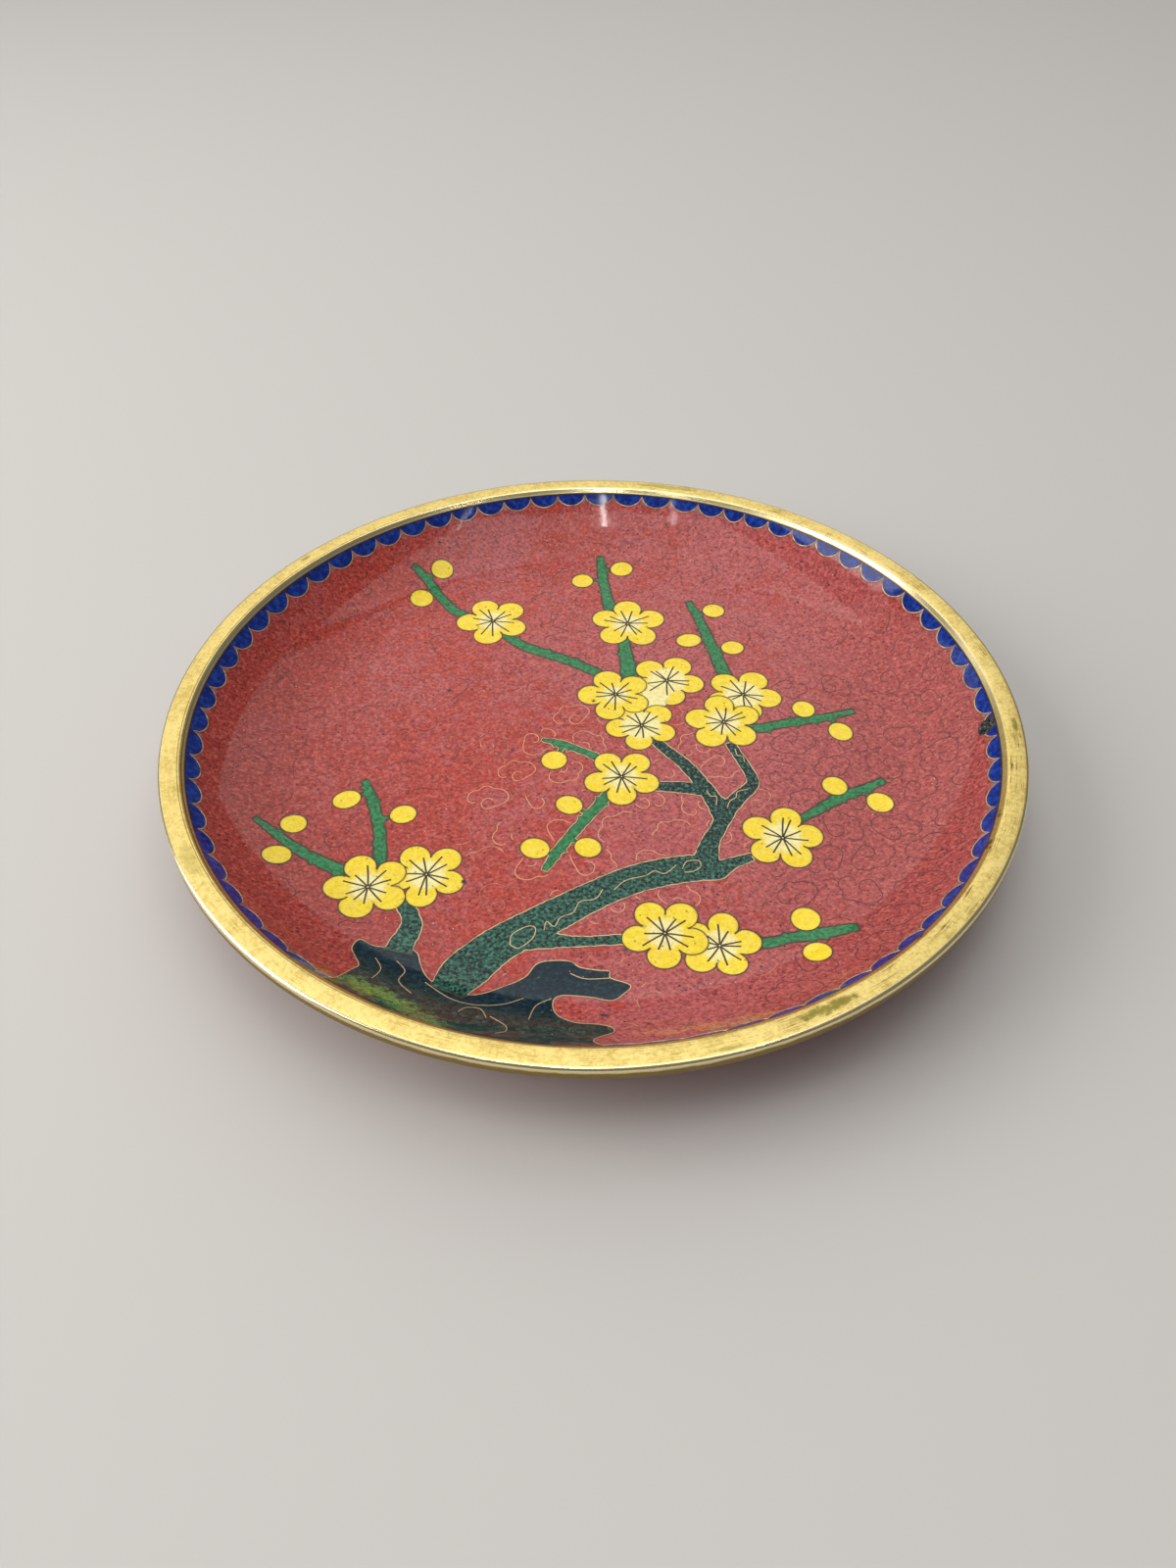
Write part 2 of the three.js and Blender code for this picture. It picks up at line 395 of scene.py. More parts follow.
def blossom(x, y, turn, reach, chance):
    """Five round petals with a deep notch between each two."""
    outline = []
    lobe, limit = math.radians(120), math.radians(35.3)
    for k in range(5):
        axis = math.radians(turn + 72 * k)
        stray = math.radians(chance.uniform(-2.5, 2.5))
        size = reach * chance.uniform(0.97, 1.03)
        wide = chance.uniform(0.97, 1.02)
        for j in range(17):
            angle = lobe * (j / 8 - 1)
            along = PETAL_MIDDLE + PETAL_ROUNDING * math.cos(angle)
            across = PETAL_ROUNDING * wide * math.sin(angle)
            away = size * math.hypot(along, across)
            # A petal never turns past the notches on its two sides.
            turned = axis + max(-limit, min(limit, stray + math.atan2(across, along)))
            outline.append((x + away * math.cos(turned), y + away * math.sin(turned)))
        notch = axis + math.radians(36)
        deep = PETAL_NOTCH * reach * chance.uniform(0.90, 1.0)
        outline.append((x + deep * math.cos(notch), y + deep * math.sin(notch)))
    return outline


def scallop_drift(angle):
    """How the scallops stray at a plan angle: in degrees clockwise, and the depth of their tips."""
    turned = (angle + 125) % 360 - 125
    first = SCALLOP_DRIFT[0]
    stops = SCALLOP_DRIFT + ((first[0] + 360, *first[1:]),)
    for (a, *low), (b, *high) in zip(stops, stops[1:]):
        if a <= turned <= b:
            share = (turned - a) / (b - a)
            drift, depth = (start + (end - start) * share for start, end in zip(low, high))
            return math.degrees(drift / SCALLOP_LINE), depth
    return math.degrees(first[1] / SCALLOP_LINE), first[2]


def scallop_point(well, step):
    """A point on the line of the scallops; whole numbers are the cusps between them."""
    edge = well.edge / MM
    across = 2 * (step % 1) - 1
    plain = SCALLOP_START + 360 * step / sizes().scallops
    stray, depth = scallop_drift(plain)
    angle = math.radians(plain - stray)
    cusp = edge - CUSP_BELOW_EDGE + CUSP_SHIFT * math.cos(angle - 0.8)
    tip = edge - depth * sizes().scallop_depth / (2.0 * MM)
    radius = min(cusp, cusp - (cusp - tip) * max(0.0, 1 - across * across) ** SCALLOP_FULLNESS)
    return radius * math.cos(angle), radius * math.sin(angle)


def scalloped_ground(well):
    """The red ground: its edge is the line of the scallops, which hang from the band."""
    steps = 16
    return [scallop_point(well, i / steps) for i in range(sizes().scallops * steps)]


def cut_at_rim(outline, rim, count):
    """An outline with all that lies beyond the rim laid on the rim's own points."""
    cut = []
    for x, y in outline:
        if math.hypot(x, y) > rim - 0.1:
            step = round(math.atan2(y, x) / math.tau * count)
            x, y = (rim * math.cos(math.tau * step / count), rim * math.sin(math.tau * step / count))
        if not cut or math.dist(cut[-1], (x, y)) > 0.01:
            cut.append((x, y))
    return cut


def turns_left(outline):
    """True where an outline runs anticlockwise."""
    return sum(a[0] * b[1] - b[0] * a[1] for a, b in zip(outline, outline[1:] + outline[:1])) > 0


class Cell:
    """One field of enamel. Cells of one group have no wire between them."""

    def __init__(self, enamel, group, outline, middle=None, reach=1.0, heart=0.0):
        self.enamel, self.group = enamel, group
        self.outline = outline if turns_left(outline) else outline[::-1]
        self.middle, self.reach, self.heart = middle, reach, heart

    def shade(self, x, y):
        """0 in a blossom's cream heart and 1 in its yellow; 1 on moss and 0 off it."""
        if self.enamel == STONE:
            away = min(math.dist((x, y), p) for p in MOSS_LINE)
            return max(0.0, 1 - away / MOSS_REACH)
        if self.middle is None:
            return 1.0
        away = math.dist((x, y), self.middle) / self.reach
        return max(0.0, min(1.0, (away - self.heart + 0.10) / 0.22))


MOSS_LINE = curve_through(MOSS_PATH, 1.0)


def picture_cells(well):
    """Every cell of the picture, from the back to the front."""
    chance = random.Random(SEED)
    rim = well.edge / MM + 0.05
    count = sizes().scallops * 6
    cells = [
        Cell(BLUE, "scallops", ring(0, 0, 2 * rim, 2 * rim, count=count)),
        Cell(GROUND, "ground", scalloped_ground(well)),
        Cell(STONE, "rock", cut_at_rim(curve_through(ROCK, 0.6, closed=True), rim, count)),
    ]
    for points in BARK_LIMBS:
        cells.append(Cell(BARK, "bark", limb(points, chance, 0.08)))
    twig_points = []
    for points in TWIGS:
        twig_points += [p[:2] for p in curve_through(points)]
        cells.append(Cell(TWIG, "twig", limb(points, chance, 0.12, thorns=4)))
    for i, (x, y) in enumerate(BUDS):
        near = min(twig_points, key=lambda p: math.dist(p, (x, y)))
        stalk = ((x, y, 0.9), ((x + near[0]) / 2, (y + near[1]) / 2, 0.8), (near[0], near[1], 1.5))
        cells.append(Cell(TWIG, "twig", limb(stalk, chance, 0.05)))
        turn = math.atan2(near[1] - y, near[0] - x)
        outline = ring(x, y, BUD_LENGTH * chance.uniform(0.94, 1.06),
                       BUD_WIDTH * chance.uniform(0.94, 1.06), turn)
        cells.append(Cell(PETAL, f"bud {i}", outline))
    for i, (x, y, turn, reach, heart) in enumerate(BLOSSOMS):
        outline = blossom(x, y, turn, reach, chance)
        if i == CLUSTER_FILL_BEHIND:
            back = cells[-1]
            cells.append(Cell(PETAL, back.group, list(CLUSTER_FILL), back.middle, 99.0, 1.0))
        cells.append(Cell(PETAL, f"blossom {i}", outline, (x, y), reach, heart))
    for x, y, length, width in CHIPS:
        outline = [(px + chance.uniform(-0.1, 0.1), py + chance.uniform(-0.1, 0.1))
                   for px, py in ring(x, y, length, width, math.atan2(y, x) + 1.3, 12)]
        cells.append(Cell(CHIP, "chip", outline))
    return cells


class Picture:
    """The well's face cut along the outlines of its cells into small triangles."""

    def __init__(self, well):
        self.well = well
        self.cells = picture_cells(well)
        self.lay_out()
        self.border_points = self.find_borders()

    def lay_out(self):
        points, faces = [], []
        for cell in self.cells:
            faces.append(list(range(len(points), len(points) + len(cell.outline))))
            points += cell.outline
        outline_count = len(points)
        points += self.fill_points(points)
        made = delaunay_2d_cdt([Vector(p) for p in points], [], faces, 0, 1e-4, True)
        corners, _, triangles, own_points, _, own_faces = made
        self.points = [(p.x, p.y) for p in corners]
        self.on_outline = [any(k < outline_count for k in own) for own in own_points]
        self.triangles, self.tops = [], []
        for triangle, own in zip(triangles, own_faces):
            if own:
                a, b, c = (self.points[k] for k in triangle)
                left = (b[0] - a[0]) * (c[1] - a[1]) - (b[1] - a[1]) * (c[0] - a[0]) > 0
                self.triangles.append(tuple(triangle) if left else tuple(triangle)[::-1])
                self.tops.append(max(own))
        flat = [Vector((x, y, 0)) for x, y in self.points]
        self.tree = BVHTree.FromPolygons(flat, self.triangles)
        self.outline_tree = KDTree(len(flat))
        for i, p in enumerate(flat):
            if self.on_outline[i]:
                self.outline_tree.insert(p, i)
        self.outline_tree.balance()

    def fill_points(self, outline):
        """Points beside every outline and an even field of points between them."""
        taken = KDTree(len(outline))
        for i, p in enumerate(outline):
            taken.insert((*p, 0), i)
        taken.balance()
        rim = self.well.edge / MM - 0.3
        beside = []
        for cell in self.cells:
            count = len(cell.outline)
            for i in range(count):
                x0, y0 = cell.outline[i - 1]
                x1, y1 = cell.outline[(i + 1) % count]
                length = math.hypot(x1 - x0, y1 - y0) or 1.0
                x, y = cell.outline[i]
                for away in (-BESIDE_OUTLINE, BESIDE_OUTLINE):
                    p = (x - (y1 - y0) / length * away, y + (x1 - x0) / length * away)
                    if math.hypot(*p) < rim and taken.find((*p, 0))[2] > BESIDE_CLEAR:
                        beside.append(p)
        near = KDTree(len(beside))
        for i, p in enumerate(beside):
            near.insert((*p, 0), i)
        near.balance()
        field = []
        rows = int(rim / FIELD_PITCH / ROW_PITCH) + 1
        for row in range(-rows, rows + 1):
            y = row * FIELD_PITCH * ROW_PITCH
            for column in range(-rows, rows + 1):
                x = (column + 0.5 * (row % 2)) * FIELD_PITCH
                clear = all(tree.find((x, y, 0))[2] > FIELD_CLEAR for tree in (taken, near))
                if math.hypot(x, y) < rim and clear:
                    field.append((x, y))
        return beside + field

    def group_at(self, x, y):
        """The group of the cell that shows at a point."""
        _, _, index, _ = self.tree.ray_cast(Vector((x, y, 1)), Vector((0, 0, -1)))
        return None if index is None else self.cells[self.tops[index]].group

    def outline_distance(self, x, y):
        return self.outline_tree.find((x, y, 0))[2]

    def find_borders(self):
        """Joins the points along every line where two groups meet; returns all such points."""
        sides = {}
        for triangle, top in zip(self.triangles, self.tops):
            group = self.cells[top].group
            for k in range(3):
                edge = tuple(sorted((triangle[k], triangle[(k + 1) % 3])))
                sides.setdefault(edge, []).append(group)
        self.links = {}
        border = set()
        for edge, groups in sides.items():
            if len(groups) == 1:
                border.update(edge)
            elif groups[0] != groups[1]:
                border.update(edge)
                if not any(g in UNBORDERED for g in groups):
                    pair = tuple(sorted(groups))
                    for a, b in (edge, edge[::-1]):
                        self.links.setdefault(a, {})[b] = pair
        return border

    def borders(self):
        """Runs of points along every border, with the two groups that meet there."""
        links = {a: dict(ends) for a, ends in self.links.items()}
        runs = []
        for loops in (False, True):
            for start in list(links):
                while links.get(start) and (loops or len(links[start]) != 2):
                    runs.append(self.walk(links, start))
        return runs

    def walk(self, links, start):
        """Follows a border from start to a fork or an end, taking its links away."""
        run, here, pair = [start], start, None
        while links.get(here):
            if pair is None:
                there, pair = next(iter(links[here].items()))
            else:
                there = next((k for k, p in links[here].items() if p == pair), None)
                if there is None or len(links[here]) > 1:
                    break
            del links[here][there], links[there][here]
            run.append(there)
            here = there
            if here == start:
                break
        return [self.points[k] for k in run], pair


_plan = {}


def picture():
    """The picture, laid out once."""
    if "picture" not in _plan:
        _plan["picture"] = Picture(Well())
    return _plan["picture"]


def new_piece(name, points, faces, edges=()):
    """A mesh object at the origin."""
    mesh = bpy.data.meshes.new(name)
    mesh.from_pydata(points, edges, faces)
    mesh.update()
    piece = bpy.data.objects.new(name, mesh)
    bpy.context.collection.objects.link(piece)
    return piece


def select_only(piece):
    bpy.ops.object.select_all(action="DESELECT")
    piece.select_set(True)
    bpy.context.view_layer.objects.active = piece


def smooth(piece, angle=math.radians(40)):
    select_only(piece)
    bpy.ops.object.shade_smooth_by_angle(angle=angle)


def rounding(centre, radius, start, end, steps):
    """(radius, height) points of a rounded edge; the angles are in degrees, from straight out."""
    points = []
    for i in range(steps + 1):
        angle = math.radians(start + (end - start) * i / steps)
        points.append((centre[0] + radius * math.cos(angle), centre[1] + radius * math.sin(angle)))
    return points


def turned_ring(name, section, steps=288):
    """A closed section (radius, height) spun once round the dish's axis in edit mode."""
    count = len(section)
    closed = section[0] != section[-1] and section[0][0] > 0
    edges = [(i, i + 1) for i in range(count - 1)] + ([(count - 1, 0)] if closed else [])
    piece = new_piece(name, [(r, 0, z) for r, z in section], [], edges)
    select_only(piece)
    bpy.ops.object.mode_set(mode="EDIT")
    bpy.ops.mesh.select_all(action="SELECT")
    bpy.ops.mesh.spin(steps=steps, angle=math.tau, center=(0, 0, 0), axis=(0, 0, 1))
    bpy.ops.mesh.select_all(action="SELECT")
    bpy.ops.mesh.remove_doubles(threshold=1e-6)
    bpy.ops.mesh.select_all(action="SELECT")
    bpy.ops.mesh.normals_make_consistent(inside=False)
    bpy.ops.object.mode_set(mode="OBJECT")
    return piece


def settle(piece, slot, *nodes):
    """Hangs the piece on the root body and hides the solids that it stands for. The slot is not used."""
    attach(piece, "root")
    if nodes:
        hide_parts(*nodes)


def wire_mesh(name, runs, face):
    """Flat brass wires on a face: each run is (points, width, tarnish); both ends are closed."""
    points, faces, dull = [], [], []
    stand, sink = sizes().wire_stand, WIRE_SINK * MM
    for line, width, tarnish in runs:
        closed = line[0] == line[-1] and len(line) > 3
        core = line[:-1] if closed else line
        count = len(core)
        base = len(points)
        for i, (x, y) in enumerate(core):
            before = core[i - 1] if closed or i else core[0]
            after = core[(i + 1) % count] if closed else core[min(i + 1, count - 1)]
            here = face.at(x, y)
            along = face.at(*after) - face.at(*before)
            normal = face.normal(x, y)
            across = normal.cross(along).normalized()
            half = width * MM / 2
            for side, up in ((-1, -sink), (-WIRE_TOP, stand), (WIRE_TOP, stand), (1, -sink)):
                points.append(here + across * half * side + normal * up)
            dull += [tarnish(x, y) if callable(tarnish) else tarnish] * 4
        for i in range(count if closed else count - 1):
            a, b = base + 4 * i, base + 4 * ((i + 1) % count)
            for k in range(4):
                n = (k + 1) % 4
                faces.append((a + k, a + n, b + n, b + k))
        if not closed:
            faces.append((base + 3, base + 2, base + 1, base))
            end = base + 4 * (count - 1)
            faces.append((end, end + 1, end + 2, end + 3))
    piece = new_piece(name, points, faces)
    layer = piece.data.attributes.new("tarnish", "FLOAT", "POINT")
    layer.data.foreach_set("value", dull)
    return piece


def planar_map(piece, well):
    """A map seen from above that just takes in the well, so that fine lines stay crisp on it."""
    reach = well.edge * 1.01
    layer = piece.data.uv_layers.new(name="OFBake")
    flat = []
    for corner in piece.data.loops:
        x, y, _ = piece.data.vertices[corner.vertex_index].co
        flat += [0.5 + x / reach / 2, 0.5 + y / reach / 2]
    layer.data.foreach_set("uv", flat)


# Nodes

class Field:
    """What a node puts out over a surface; + - * / and the like carry it on into a maths node."""

    def __init__(self, socket):
        self.socket, self.tree = socket, socket.id_data

    def into(self, operation, other=0.0):
        return maths(self.tree, operation, self, other)

    def __add__(self, other):
        return self.into("ADD", other)

    def __sub__(self, other):
        return self.into("SUBTRACT", other)

    def __rsub__(self, other):
        return maths(self.tree, "SUBTRACT", other, self)

    def __mul__(self, other):
        return self.into("MULTIPLY", other)

    def __truediv__(self, other):
        return self.into("DIVIDE", other)

    def __pow__(self, other):
        return self.into("POWER", other)

    def __abs__(self):
        return self.into("ABSOLUTE")

    def root(self):
        return self.into("SQRT")

    def or_more(self, other):
        return self.into("MAXIMUM", other)

    def above(self, limit):
        return self.into("GREATER_THAN", limit)


def join(value, socket):
    """Links a field to a socket, or sets a plain value on it."""
    if isinstance(value, Field):
        value.tree.links.new(value.socket, socket)
    else:
        socket.default_value = value


def node(tree, kind, values=None, **settings):
    """A new node: values are set on or joined to its inputs."""
    made = tree.nodes.new(kind)
    for key, value in settings.items():
        setattr(made, key, value)
    for key, value in (values or {}).items():
        join(value, made.inputs[key])
    return made


def maths(tree, operation, a, b):
    return Field(node(tree, "ShaderNodeMath", {0: a, 1: b}, operation=operation).outputs[0])


def remap(value, low, high, to_low=0.0, to_high=1.0):
    """Turns low to high into to_low to to_high, smoothly."""
    made = node(value.tree, "ShaderNodeMapRange",
                {"Value": value, "From Min": low, "From Max": high, "To Min": to_low, "To Max": to_high},
                interpolation_type="SMOOTHSTEP")
    return Field(made.outputs[0])


def blend(factor, a, b, mode="MIX"):
    """Colour a where the factor is 0 and colour b where it is 1."""
    made = node(factor.tree, "ShaderNodeMix", {0: factor, 6: a, 7: b}, data_type="RGBA", blend_type=mode)
    return Field(made.outputs[2])


def noise(place, size, detail=3.0, roughness=0.55):
    """Noise with features of about a size in metres."""
    scale = size if isinstance(size, Field) else 1 / size
    made = node(place.tree, "ShaderNodeTexNoise",
                {"Vector": place, "Scale": scale, "Detail": detail, "Roughness": roughness})
    return Field(made.outputs[0])


def scattered_cells(place, size):
    """Cells of about a size: how far a point is from its cell's middle, and the cell's own numbers."""
    cells = node(place.tree, "ShaderNodeTexVoronoi", {"Vector": place, "Scale": 1 / size})
    own = node(place.tree, "ShaderNodeSeparateColor", {0: Field(cells.outputs["Color"])})
    return Field(cells.outputs["Distance"]), [Field(number) for number in own.outputs]


def attribute(tree, name):
    return Field(node(tree, "ShaderNodeAttribute", attribute_name=name).outputs["Fac"])


def object_place(tree):
    """The place on the object, then its x, y and z."""
    place = Field(node(tree, "ShaderNodeTexCoord").outputs["Object"])
    return place, *(Field(part) for part in node(tree, "ShaderNodeSeparateXYZ", {0: place}).outputs)


def from_axis(x, y):
    """The distance from the dish's axis."""
    return (x * x + y * y).root()


def rgba(colour, gain=1.0):
    return (*(min(1.0, c * gain) for c in colour), 1.0)


def new_group(name, inputs, outputs):
    """An empty node group with named sockets; returns its tree, its inputs and what it puts out."""
    tree = bpy.data.node_groups.new(name, "ShaderNodeTree")
    for in_out, sockets in (("INPUT", inputs), ("OUTPUT", outputs)):
        for title, kind in sockets:
            tree.interface.new_socket(title, in_out=in_out, socket_type=kind)
    given = tree.nodes.new("NodeGroupInput").outputs
    return tree, {title: Field(given[title]) for title, _ in inputs}, tree.nodes.new("NodeGroupOutput").inputs


COLOUR, VALUE = "NodeSocketColor", "NodeSocketFloat"
SURFACE = (("Colour", COLOUR), ("Roughness", VALUE), ("Height", VALUE))
PIT_COLOUR = (0.035, 0.014, 0.012, 1)
SPECK_COLOUR = (0.80, 0.62, 0.52, 1)
DIRT_COLOUR = (0.075, 0.042, 0.035, 1)


def fired_enamel():
    """The grain of fired enamel: mottling, granules, pits and the dirt that lies along the wires."""
    if "Fired enamel" in bpy.data.node_groups:
        return bpy.data.node_groups["Fired enamel"]
    tree, given, out = new_group(
        "Fired enamel",
        (("Colour", COLOUR), ("Deep colour", COLOUR), ("Pale colour", COLOUR), ("Mottle scale", VALUE),
         ("Mottling", VALUE), ("Grain", VALUE), ("Pits", VALUE), ("Dirt", VALUE)), SURFACE)
    place = object_place(tree)[0]
    fine = noise(place, 0.40 * MM, 2.0)
    mottle = noise(place, given["Mottle scale"], 4.0, 0.62)
    colour = blend(remap(mottle, 0.50, 0.60) * given["Mottling"], given["Colour"], given["Deep colour"])
    colour = blend(remap(mottle, 0.50, 0.38) * given["Mottling"], colour, given["Pale colour"])
    # Granules: here and there a cell of a fine pattern is sunk and dark.
    granule = scattered_cells(place, 0.38 * MM)[1][0]
    sunk = (1.0 - granule) ** 3.0
    colour = blend(given["Grain"], colour, fine * 0.8 + 0.80 - sunk * 0.95, "MULTIPLY")
    # Pits and pale specks: the middles of scattered cells of a wider pattern.
    away, chosen = scattered_cells(place, 1.05 * MM)
    pit = remap(away - remap(chosen[0], 0.62, 1.0, 0.0, 0.20), 0.03, -0.02)
    pit = pit * given["Pits"] * chosen[0].above(0.64)
    colour = blend(pit, colour, PIT_COLOUR)
    speck = remap(away - remap(chosen[1], 0.84, 1.0, 0.0, 0.11), 0.02, -0.02)
    colour = blend(speck * given["Pits"] * chosen[1].above(0.86), colour, SPECK_COLOUR)
    ragged = attribute(tree, "by_wire") + fine * 0.5 + noise(place, 2.6 * MM, 3.0, 0.6) * 0.9
    ragged = remap(ragged, 0.85, 1.5)
    join(blend(ragged * given["Dirt"], colour, DIRT_COLOUR), out["Colour"])
    join((fine * 0.12 + 0.05).or_more(pit * 0.7), out["Roughness"])
    join(fine * 0.55 - pit + mottle * 0.45 - ragged * 0.35, out["Height"])
    return tree


# Green patches on the band: plan angle and half length in degrees, radius and half width in
# millimetres, strength.
PATINA = ((-64.3, 4.3, 72.9, 0.95, 0.85), (-5.9, 1.5, 73.4, 0.55, 0.8), (142.7, 1.0, 73.5, 0.5, 0.7),
          (76.5, 5.5, 73.4, 0.9, 0.45), (-149, 3.5, 73.0, 1.3, 0.35), (-76, 2.2, 73.9, 0.4, 0.45))
# Painted shade of turned grooves by the band's lip: radius and half width in millimetres.
GROOVE_SHADES = ((71.75, 0.05), (71.12, 0.06))
# Dark scratches and the painted shade of the grooves.
SCRATCH_AND_SHADE_COLOUR = (0.16, 0.10, 0.03, 1)
SEAM_COLOUR = (0.15, 0.10, 0.04, 1)
# A whitish brass for the rubbed edges, partly wear and partly a painted highlight.
RUBBED_HIGHLIGHT_COLOUR = (1.0, 0.90, 0.62, 1)


def aged_brass():
    """Worn brass: rubbed lines round the dish, dull clouds, painted shade on the outside, rubbed edges that
    carry a painted highlight, and green patches.
    """
    if "Aged brass" in bpy.data.node_groups:
        return bpy.data.node_groups["Aged brass"]
    tree, given, out = new_group(
        "Aged brass",
        (("Clean", COLOUR), ("Dull", COLOUR), ("Outer shade colour", COLOUR), ("Green", COLOUR),
         ("Dullness", VALUE), ("Outer shade", VALUE), ("Patches", VALUE)), SURFACE)
    place, x, y, z = object_place(tree)
    radius = from_axis(x, y)
    angle = y.into("ARCTAN2", x)
    # Drawn out round the dish and fine across the band.
    drawn_out = Field(node(tree, "ShaderNodeCombineXYZ", {
        0: x / radius * 15.0, 1: y / radius * 15.0, 2: (radius - z) * (1 / (0.10 * MM))}).outputs[0])
    lines = noise(drawn_out, 1.0, 3.0, 0.6)
    speckle = noise(place, 0.60 * MM, 4.0, 0.75)
    clouds = noise(place, 4.0 * MM, 4.0, 0.62)
    broken = noise(place, 1.4 * MM, 3.0, 0.6)
    dull = lines * 0.20 + clouds * 0.28 + speckle * 0.52
    colour = blend(remap(dull, 0.44, 0.60) * given["Dullness"], given["Clean"], given["Dull"])
    # The bevel that runs down to the enamel is rubbed clean on the far side, and there a paler brass paints a
    # highlight.
    bevel_wear_and_highlight = remap(radius, 71.60 * MM, 71.40 * MM) * remap(radius, 70.70 * MM, 70.95 * MM)
    bevel_wear_and_highlight = bevel_wear_and_highlight * remap(y, -25 * MM, 15 * MM)
    # Fine dark scratches, thickest on the right, and on the left two dark lines by the lip that paint the
    # shade of turned grooves.
    scratches_and_groove_shade = remap(lines + clouds * 0.35, 0.79, 0.86) * remap(x, -40 * MM, 50 * MM, 0.25, 0.9)
    scratches_and_groove_shade = scratches_and_groove_shade * (1.0 - bevel_wear_and_highlight)
    # Painted shade: the groove lines show only on the left.
    left = remap(x + clouds * (40 * MM), 10 * MM, -20 * MM) * 0.8
    for groove_shade, half_width in GROOVE_SHADES:
        away = abs(radius - groove_shade * MM)
        line = remap(away, (half_width + 0.05) * MM, half_width * 0.5 * MM)
        scratches_and_groove_shade = scratches_and_groove_shade.or_more(line * left)
    scratches_and_groove_shade = scratches_and_groove_shade * given["Patches"]
    colour = blend(scratches_and_groove_shade, colour, SCRATCH_AND_SHADE_COLOUR)
    green = None
    for turn, half_turn, middle, half_width, strength in PATINA:
        along = (angle - math.radians(turn)) * (1 / math.radians(half_turn))
        over = (radius - middle * MM) * (1 / (half_width * MM))
        away = along * along + over * over + speckle * 1.3 + broken * 2.6
        patch = remap(away, 3.1, 2.2) * strength
        green = patch if green is None else green.or_more(patch)
    green = green * given["Patches"]
    colour = blend(green, colour, given["Green"])
    # Painted shade and a painted dark reflection on the outer face, from just above the band's top edge down.
    top = BAND_BOX[1][2]
    low = z + clouds * (0.9 * MM) + speckle * (0.6 * MM)
    outer_shade = remap(low, top + 0.25 * MM, top - 0.35 * MM) * given["Outer shade"] * radius.above(72.5 * MM)
    colour = blend(outer_shade, colour, given["Outer shade colour"])
    seam = remap(radius, 70.86 * MM, 70.66 * MM) * given["Patches"]
    colour = blend(seam, colour, SEAM_COLOUR)
    # Both edges of the band are rubbed bright: partly wear, partly a painted highlight in a whitish brass.
    rubbed_and_highlight = bevel_wear_and_highlight.or_more(remap(radius, 74.30 * MM, 74.62 * MM)) * given["Patches"] * (1.0 - outer_shade)
    join(blend(rubbed_and_highlight * 0.55, colour, RUBBED_HIGHLIGHT_COLOUR), out["Colour"])
    rough = (dull * 0.40 + 0.20) * (1.0 - rubbed_and_highlight * 0.5)
    join(rough + green * 0.25 + outer_shade * 0.15, out["Roughness"])
    relief = lines * 0.30 + speckle * 0.90 - scratches_and_groove_shade * 0.6
    join(relief * (1.0 - rubbed_and_highlight * 0.85), out["Height"])
    return tree


def new_material(name):
    made = bpy.data.materials.new(name)
    made.use_nodes = True
    return made, made.node_tree, made.node_tree.nodes["Principled BSDF"].inputs


def group_surface(tree, shader, group, values, bump, depth):
    """Puts a node group in a material, sets its values and joins what it puts out to the shader."""
    placed = node(tree, "ShaderNodeGroup", values, node_tree=group)
    colour, roughness, height = (Field(placed.outputs[title]) for title, _ in SURFACE)
    join(colour, shader["Base Color"])
    join(roughness, shader["Roughness"])
    relief = node(tree, "ShaderNodeBump", {"Height": height, "Strength": bump, "Distance": depth})
    join(Field(relief.outputs[0]), shader["Normal"])


def enamel(name, colour, deep, pale, mottle_size, mottling, grain, pits, dirt):
    """An enamel. The colour is plain, or a function that makes it from the material's nodes."""
    made, tree, shader = new_material(name)
    values = {"Colour": colour(tree) if callable(colour) else rgba(colour), "Deep colour": deep,
              "Pale colour": pale, "Mottle scale": 1 / mottle_size, "Mottling": mottling,
              "Grain": grain, "Pits": pits, "Dirt": dirt}
    group_surface(tree, shader, fired_enamel(), values, 0.14, 0.10 * MM)
    shader["Specular IOR Level"].default_value = 0.07
    # The polished skin of the enamel: faint waves in it break up the streaks of light.
    waves = node(tree, "ShaderNodeBump", {"Height": noise(object_place(tree)[0], 1.1 * MM, 2.0),
                                          "Strength": 0.5, "Distance": 0.011 * MM})
    join(Field(waves.outputs[0]), shader["Coat Normal"])
    shader["Coat Weight"].default_value = 0.48
    shader["Coat Roughness"].default_value = 0.05
    return made


def red_with_painted_light(tree):
    """Brick red that shifts from place to place at random, with painted shade that deepens it on the left and
    on the side walls, and a painted sheen that makes it rosy on the right.
    """
    place, x, y, _ = object_place(tree)
    woven = noise(place, 2.2 * MM, 4.0, 0.7) - 0.5
    # Painted light: the pull of x deepens the red on the left as painted shade and makes it rosy on the right
    # as a painted sheen; the noise is the enamel's own uneven tone.
    drift = noise(place, 22 * MM, 3.0, 0.6) + x * 3.2 + woven * 1.1
    red, green, blue = colours().ground
    deep_and_shaded_red = (red * 0.88, green * 0.58, blue * 0.50, 1)
    rosy_and_sheen_red = (red * 0.88, green * 1.16, blue * 1.46, 1)
    colour = blend(remap(drift, 0.26, 0.66), deep_and_shaded_red, rosy_and_sheen_red)
    # Painted shade: darker towards the left and right walls and the near side.
    deeper = remap(abs(x) - y * 0.25, 24 * MM, 62 * MM, 0.0, 0.55)
    return blend(deeper, colour, (red * 0.62, green * 0.50, blue * 0.50, 1))


